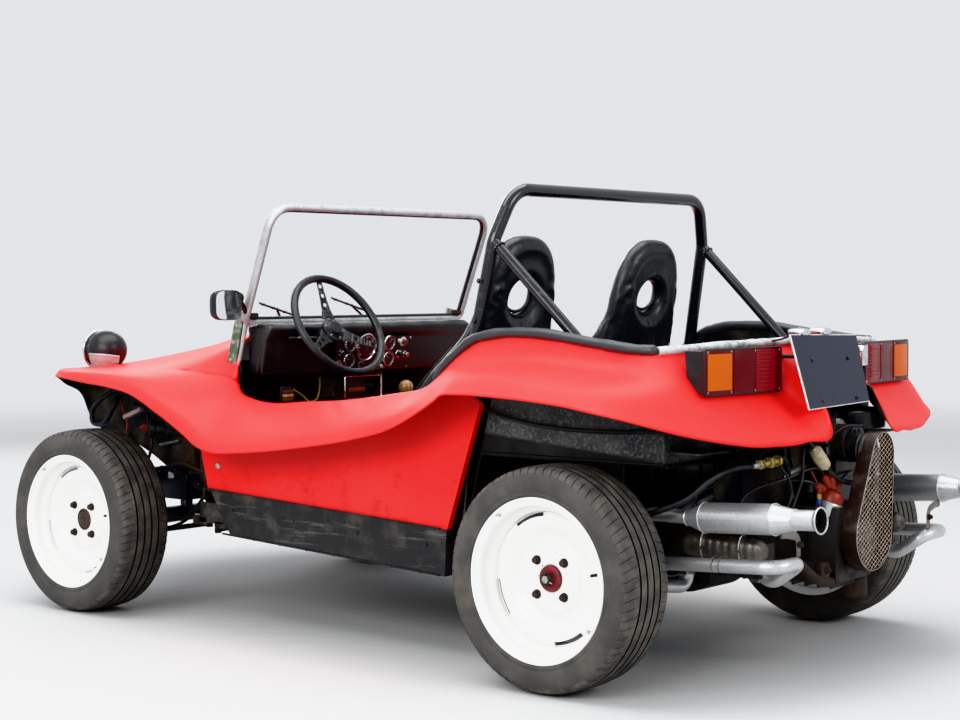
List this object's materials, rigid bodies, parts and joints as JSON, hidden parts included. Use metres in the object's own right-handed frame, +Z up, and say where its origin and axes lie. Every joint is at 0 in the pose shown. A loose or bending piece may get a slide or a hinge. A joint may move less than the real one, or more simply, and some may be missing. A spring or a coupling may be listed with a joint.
{
  "type": "dune buggy",
  "caption": "Open two-seat dune buggy: red moulded tub on a shortened backbone chassis, rear air-cooled engine, roll bar, steerable white wheels.",
  "frame": {"origin": "ground level under the middle of the bounding box, with the vehicle standing on its four tyres", "axes": "+X forwards, +Y to the driver's left, +Z up"},
  "size_m": [3.1542, 1.619, 1.382],
  "materials": {
    "tyre_rubber": "dusty rubber",
    "white_wheel_paint": "satin white paint",
    "brake_iron": "rusty cast iron",
    "chassis_black": "worn satin black paint",
    "engine_alloy": "oily cast alloy",
    "engine_tin_black": "gloss black paint",
    "pulley_steel": "turned steel",
    "exhaust_silver": "silver heat paint",
    "guard_bronze": "bronze brown paint",
    "body_red": "red gel coat",
    "screen_chrome": "polished",
    "screen_glass": "clear",
    "dash_black": "grained black",
    "roll_bar_black": "gloss black paint",
    "seat_vinyl": "black vinyl",
    "trim_vinyl": "padded black vinyl",
    "lens_red": "moulded lens",
    "plate_blank": "blank dark plate"
  },
  "bodies": {
    "chassis": {"belt_guard": "guard_bronze", "belt_pulleys": "pulley_steel", "console": "dash_black", "cylinder_banks": "engine_alloy", "dashboard": "dash_black", "deck_trim": "trim_vinyl", "door_mirror": "dash_black", "engine_case": "engine_alloy", "fan_shroud": "engine_tin_black", "floor_levers": "dash_black", "floor_pan": "chassis_black", "footwell": "chassis_black", "front_beam": "chassis_black", "front_body": "body_red", "front_shocks": "chassis_black", "front_trailing_arms": "chassis_black", "fuel_tank": "engine_tin_black", "gearbox": "engine_alloy", "generator": "engine_tin_black", "header_pipes": "exhaust_silver", "headlights": "screen_chrome", "instrument_panel": "dash_black", "luggage_well": "chassis_black", "mufflers": "exhaust_silver", "number_plate": "plate_blank", "pedals": "dash_black", "rear_axle_tubes": "chassis_black", "rear_body": "body_red", "rear_shocks": "chassis_black", "rear_torsion_tube": "chassis_black", "roll_bar": "roll_bar_black", "seat_rails": "chassis_black", "seats": "seat_vinyl", "side_flanges": "body_red", "side_panels": "body_red", "side_sills": "chassis_black", "steering_column": "chassis_black", "tail_lights": "lens_red", "windscreen_frame": "screen_chrome", "windscreen_glass": "screen_glass", "wipers": "dash_black"},
    "front_left_knuckle": {"front_left_knuckle": "chassis_black"},
    "front_right_knuckle": {"front_right_knuckle": "chassis_black"},
    "pitman": {"pitman_arm": "chassis_black"},
    "left_tie_rod": {"tie_rod_left": "chassis_black"},
    "right_tie_rod": {"tie_rod_right": "chassis_black"},
    "steering_wheel": {"steering_wheel": "dash_black"},
    "front_left_wheel": {"front_left_tyre": "tyre_rubber", "front_left_rim": "white_wheel_paint", "front_left_drum": "brake_iron"},
    "front_right_wheel": {"front_right_tyre": "tyre_rubber", "front_right_rim": "white_wheel_paint", "front_right_drum": "brake_iron"},
    "rear_left_wheel": {"rear_left_tyre": "tyre_rubber", "rear_left_rim": "white_wheel_paint", "rear_left_drum": "brake_iron"},
    "rear_right_wheel": {"rear_right_tyre": "tyre_rubber", "rear_right_rim": "white_wheel_paint", "rear_right_drum": "brake_iron"}
  },
  "joints": [
    {"name": "steer_left", "type": "hinge", "parent": "chassis", "child": "front_left_knuckle", "pos_m": [1.094, 0.56, 0.305], "axis": [0, 0, 1], "range_deg": [-28, 28]},
    {"name": "steer_right", "type": "hinge", "parent": "chassis", "child": "front_right_knuckle", "pos_m": [1.094, -0.56, 0.305], "axis": [0, 0, 1], "range_deg": [-28, 28]},
    {"name": "pitman_turn", "type": "hinge", "parent": "chassis", "child": "pitman", "pos_m": [1.094, 0.27, 0.274], "axis": [0, 0, 1], "range_deg": [-28, 28]},
    {"name": "left_rod_turn", "type": "hinge", "parent": "pitman", "child": "left_tie_rod", "pos_m": [0.984, 0.27, 0.274], "axis": [0, 0, 1], "range_deg": [-28, 28]},
    {"name": "right_rod_turn", "type": "hinge", "parent": "pitman", "child": "right_tie_rod", "pos_m": [0.984, 0.23, 0.274], "axis": [0, 0, 1], "range_deg": [-28, 28]},
    {"name": "steering_wheel_turn", "type": "hinge", "parent": "chassis", "child": "steering_wheel", "pos_m": [0.33, 0.28, 0.961], "axis": [-0.8572, 0, 0.515], "range_deg": [-420, 420]},
    {"name": "front_left_spin", "type": "hinge", "parent": "front_left_knuckle", "child": "front_left_wheel", "pos_m": [1.094, 0.705, 0.305], "axis": [0, 1, 0], "continuous": true},
    {"name": "front_right_spin", "type": "hinge", "parent": "front_right_knuckle", "child": "front_right_wheel", "pos_m": [1.094, -0.705, 0.305], "axis": [0, 1, 0], "continuous": true},
    {"name": "rear_left_spin", "type": "hinge", "parent": "chassis", "child": "rear_left_wheel", "pos_m": [-0.906, 0.707, 0.305], "axis": [0, 1, 0], "continuous": true},
    {"name": "rear_right_spin", "type": "hinge", "parent": "chassis", "child": "rear_right_wheel", "pos_m": [-0.906, -0.707, 0.305], "axis": [0, 1, 0], "continuous": true}
  ],
  "couplings": [
    {"joint": "steer_right", "follows": "steer_left", "ratio": 1},
    {"joint": "pitman_turn", "follows": "steer_left", "ratio": 1},
    {"joint": "left_rod_turn", "follows": "steer_left", "ratio": -1},
    {"joint": "right_rod_turn", "follows": "steer_left", "ratio": -1},
    {"joint": "steering_wheel_turn", "follows": "steer_left", "ratio": 15}
  ]
}
